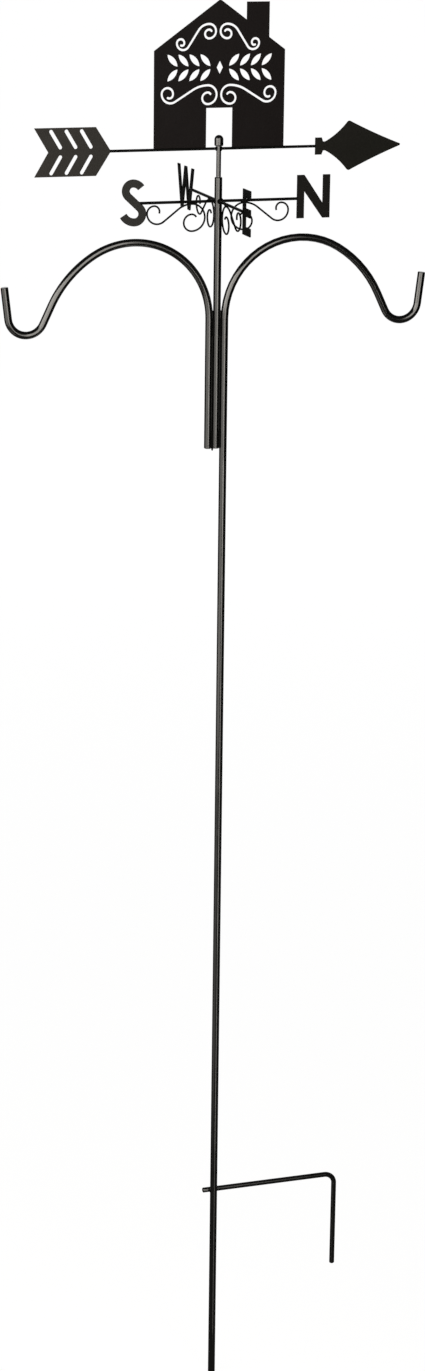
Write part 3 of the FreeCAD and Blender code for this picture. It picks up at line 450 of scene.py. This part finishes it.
def make_vane_welds():
    """Beads round the shafts' roots on the sleeve, and behind the house's foot."""
    hub = middle("hub_welds")
    low, high = corners("house_welds")
    roots = bmesh.new()
    seams = bmesh.new()
    for side in SIDES:
        axis = Vector((side, 0.0, 0.0))
        bead_ring(roots, hub + axis * HUB_ROOT, axis, ring=0.0024, radius=0.0012, count=10)
        for start in HOUSE_STARTS:
            line = Vector((hub.x + side * start, low.y + HOUSE_BACK, (low.z + high.z) / 2))
            bead_row(seams, line, line + axis * HOUSE_LENGTH, radius=0.0011, pitch=0.0010)
    welded("hub_beads", roots, "vane", "hub_welds")
    welded("house_beads", seams, "vane", "house_welds")


def merged(node):
    """A copy of a node's form with its loose triangles joined."""
    shape = bmesh.new()
    shape.from_mesh(nodes[node].data)
    bmesh.ops.remove_doubles(shape, verts=shape.verts, dist=SAME_PLACE)
    return shape


def grow(shape, coat):
    """Moves the whole surface outwards by a coat's thickness."""
    shape.normal_update()
    moves = [vert.normal * (coat * vert.calc_shell_factor()) for vert in shape.verts]
    for vert, move in zip(shape.verts, moves):
        vert.co += move


def painted(node, shape, paint, body):
    """A coated piece in its node's place, with its corners kept sharp."""
    for edge in shape.edges:
        edge.smooth = edge.calc_face_angle(0.0) < CORNER
    dressed(f"painted_{node}", shape, paint, body, node)


def coat_rod(node, coat, slot, body):
    """A rod or wire under a coat of paint."""
    shape = merged(node)
    grow(shape, coat)
    for face in shape.faces:
        face.smooth = True
    painted(node, shape, PAINTS[slot], body)


def make_rods():
    """The thin rods and wires, with their paint."""
    for direction in TURNS:
        coat_rod(f"{direction}_arm", ARM_COAT, "wire_paint", "stand")
        coat_rod(f"{direction}_scroll", SCROLL_COAT, "wire_paint", "stand")
    coat_rod("front_shaft", SHAFT_COAT, "wire_paint", "vane")
    coat_rod("rear_shaft", SHAFT_COAT, "wire_paint", "vane")
    coat_rod("foot_bar", FOOT_COAT, "bar_paint", "stand")


def make_letters():
    """Letters of stronger sheet than their nodes', with rounded edges."""
    for direction, (coat, paint) in LETTERS.items():
        node = f"{direction}_letter"
        low, high = corners(node)
        thin = 0 if high.x - low.x < high.y - low.y else 1
        plane = middle(node)[thin]
        shape = merged(node)
        bmesh.ops.dissolve_limit(shape, angle_limit=FLAT_ANGLE, verts=shape.verts, edges=shape.edges)
        grow(shape, coat)
        for vert in shape.verts:
            vert.co[thin] = plane + math.copysign(LETTER_SHEET / 2, vert.co[thin] - plane)
        shape.normal_update()
        rims = [edge for edge in shape.edges if edge.calc_face_angle(0.0) > CORNER]
        bmesh.ops.bevel(shape, geom=rims, offset=LETTER_EDGE, offset_type="OFFSET", segments=3, profile=0.5,
                        affect="EDGES", material=-1, clamp_overlap=True)
        for face in shape.faces:
            face.smooth = abs(face.normal[thin]) < FLAT_SHARE
        painted(node, shape, paint, "stand")


def seen_directly(tree, behind):
    """1 for rays from the camera or through glass, and for reflections of what is behind, else 0."""
    path = tree.nodes.new("ShaderNodeLightPath")
    mirrored = tree.nodes.new("ShaderNodeMath")
    mirrored.operation = "MULTIPLY"
    tree.links.new(path.outputs["Is Glossy Ray"], mirrored.inputs[0])
    tree.links.new(behind, mirrored.inputs[1])
    total = path.outputs["Is Camera Ray"]
    for other in (path.outputs["Is Transmission Ray"], mirrored.outputs["Value"]):
        node = tree.nodes.new("ShaderNodeMath")
        node.operation = "MAXIMUM"
        tree.links.new(total, node.inputs[0])
        tree.links.new(other, node.inputs[1])
        total = node.outputs["Value"]
    return total


def backwards(tree, place):
    """How nearly a place or a direction lies straight behind the object, from 0 to 1."""
    flat = tree.nodes.new("ShaderNodeVectorMath")
    flat.operation = "NORMALIZE"
    tree.links.new(place, flat.inputs[0])
    along = tree.nodes.new("ShaderNodeVectorMath")
    along.operation = "DOT_PRODUCT"
    along.inputs[1].default_value = BEHIND
    tree.links.new(flat.outputs["Vector"], along.inputs[0])
    share = tree.nodes.new("ShaderNodeMapRange")
    share.interpolation_type = "SMOOTHSTEP"
    share.inputs["From Min"].default_value = BEHIND_FROM
    share.inputs["From Max"].default_value = BEHIND_FULL
    tree.links.new(along.outputs["Value"], share.inputs["Value"])
    return share.outputs["Result"]


def make_world():
    """A dim room in front of a white background, which is white wherever the camera looks."""
    world = bpy.data.worlds.new("studio")
    bpy.context.scene.world = world
    world.use_nodes = True
    tree = world.node_tree
    tree.nodes.clear()
    place = tree.nodes.new("ShaderNodeTexCoord").outputs["Generated"]
    mix = tree.nodes.new("ShaderNodeMix")
    mix.data_type = "FLOAT"
    mix.inputs["A"].default_value = ROOM_LEVEL
    mix.inputs["B"].default_value = 1.0
    tree.links.new(seen_directly(tree, backwards(tree, place)), mix.inputs["Factor"])
    background = tree.nodes.new("ShaderNodeBackground")
    background.inputs["Color"].default_value = WHITE
    tree.links.new(mix.outputs["Result"], background.inputs["Strength"])
    output = tree.nodes.new("ShaderNodeOutputWorld")
    tree.links.new(background.outputs["Background"], output.inputs["Surface"])


def floor_paint():
    """Grey that takes the object's shadow, with a white glow over it for the camera."""
    material = bpy.data.materials.new("floor")
    material.use_nodes = True
    tree = material.node_tree
    tree.nodes.clear()
    place = tree.nodes.new("ShaderNodeTexCoord").outputs["Object"]
    away = tree.nodes.new("ShaderNodeVectorMath")
    away.operation = "LENGTH"
    tree.links.new(place, away.inputs[0])
    level = tree.nodes.new("ShaderNodeMapRange")
    for key, number in FLOOR_GLOW.items():
        level.inputs[key].default_value = number
    tree.links.new(away.outputs["Value"], level.inputs["Value"])
    strength = tree.nodes.new("ShaderNodeMath")
    strength.operation = "MULTIPLY"
    tree.links.new(level.outputs["Result"], strength.inputs[0])
    tree.links.new(seen_directly(tree, backwards(tree, place)), strength.inputs[1])
    matte = tree.nodes.new("ShaderNodeBsdfDiffuse")
    matte.inputs["Color"].default_value = FLOOR_GREY
    glow = tree.nodes.new("ShaderNodeEmission")
    glow.inputs["Color"].default_value = WHITE
    tree.links.new(strength.outputs["Value"], glow.inputs["Strength"])
    both = tree.nodes.new("ShaderNodeAddShader")
    tree.links.new(matte.outputs["BSDF"], both.inputs[0])
    tree.links.new(glow.outputs["Emission"], both.inputs[1])
    output = tree.nodes.new("ShaderNodeOutputMaterial")
    tree.links.new(both.outputs["Shader"], output.inputs["Surface"])
    return material


def make_floor():
    """White floor at the stake's end, wide enough to fill the view."""
    shape = bmesh.new()
    bmesh.ops.create_circle(shape, cap_ends=True, segments=96, radius=FLOOR_RADIUS)
    bmesh.ops.translate(shape, verts=shape.verts, vec=(0.0, 0.0, FLOOR_LEVEL))
    mesh = bpy.data.meshes.new("floor")
    shape.to_mesh(mesh)
    shape.free()
    mesh.materials.append(floor_paint())
    floor = bpy.data.objects.new("floor", mesh)
    bpy.context.scene.collection.objects.link(floor)


def softbox(name, bearing, distance, shift, low, high, width, level):
    """An upright soft panel at a bearing from the front, moved sideways, of an even level."""
    light = bpy.data.lights.new(name, "AREA")
    light.shape = "RECTANGLE"
    light.size = width
    light.size_y = high - low
    light.energy = level * math.pi * width * (high - low)
    light.color = LAMP_COLOUR
    lamp = bpy.data.objects.new(name, light)
    bpy.context.scene.collection.objects.link(lamp)
    turn = Matrix.Rotation(math.radians(bearing), 4, "Z")
    upright = Matrix.Rotation(math.radians(90.0), 4, "X")
    lamp.matrix_world = turn @ Matrix.Translation((shift, -distance, (low + high) / 2)) @ upright
    lamp.visible_camera = False


def make_lights():
    """Panels for the hooks and the plates, and narrow strips that draw a soft line down the post."""
    for lamp in LAMPS:
        softbox(*lamp)


def make_camera():
    """A camera at the photograph's viewpoint, to the left, looking down, with a slight roll."""
    view = bpy.data.cameras.new("camera")
    view.sensor_fit = "VERTICAL"
    view.sensor_height = CAMERA_SENSOR
    view.sensor_width = CAMERA_SENSOR
    view.lens = CAMERA_LENS
    view.clip_end = CAMERA_REACH
    camera = bpy.data.objects.new("camera", view)
    bpy.context.scene.collection.objects.link(camera)
    turn = Matrix.Rotation(math.radians(CAMERA_BEARING), 4, "Z")
    tilt = Matrix.Rotation(math.radians(90.0 - CAMERA_DROP), 4, "X")
    roll = Matrix.Rotation(math.radians(CAMERA_ROLL), 4, "Z")
    camera.matrix_world = Matrix.Translation(CAMERA_PLACE) @ turn @ tilt @ roll
    bpy.context.scene.camera = camera


paint_nodes()
make_shank_welds()
make_seams()
make_rod_welds()
make_foot_weld()
make_vane_welds()
make_rods()
make_letters()
make_world()
make_floor()
make_lights()
make_camera()
bpy.context.scene.view_settings.view_transform = "Standard"
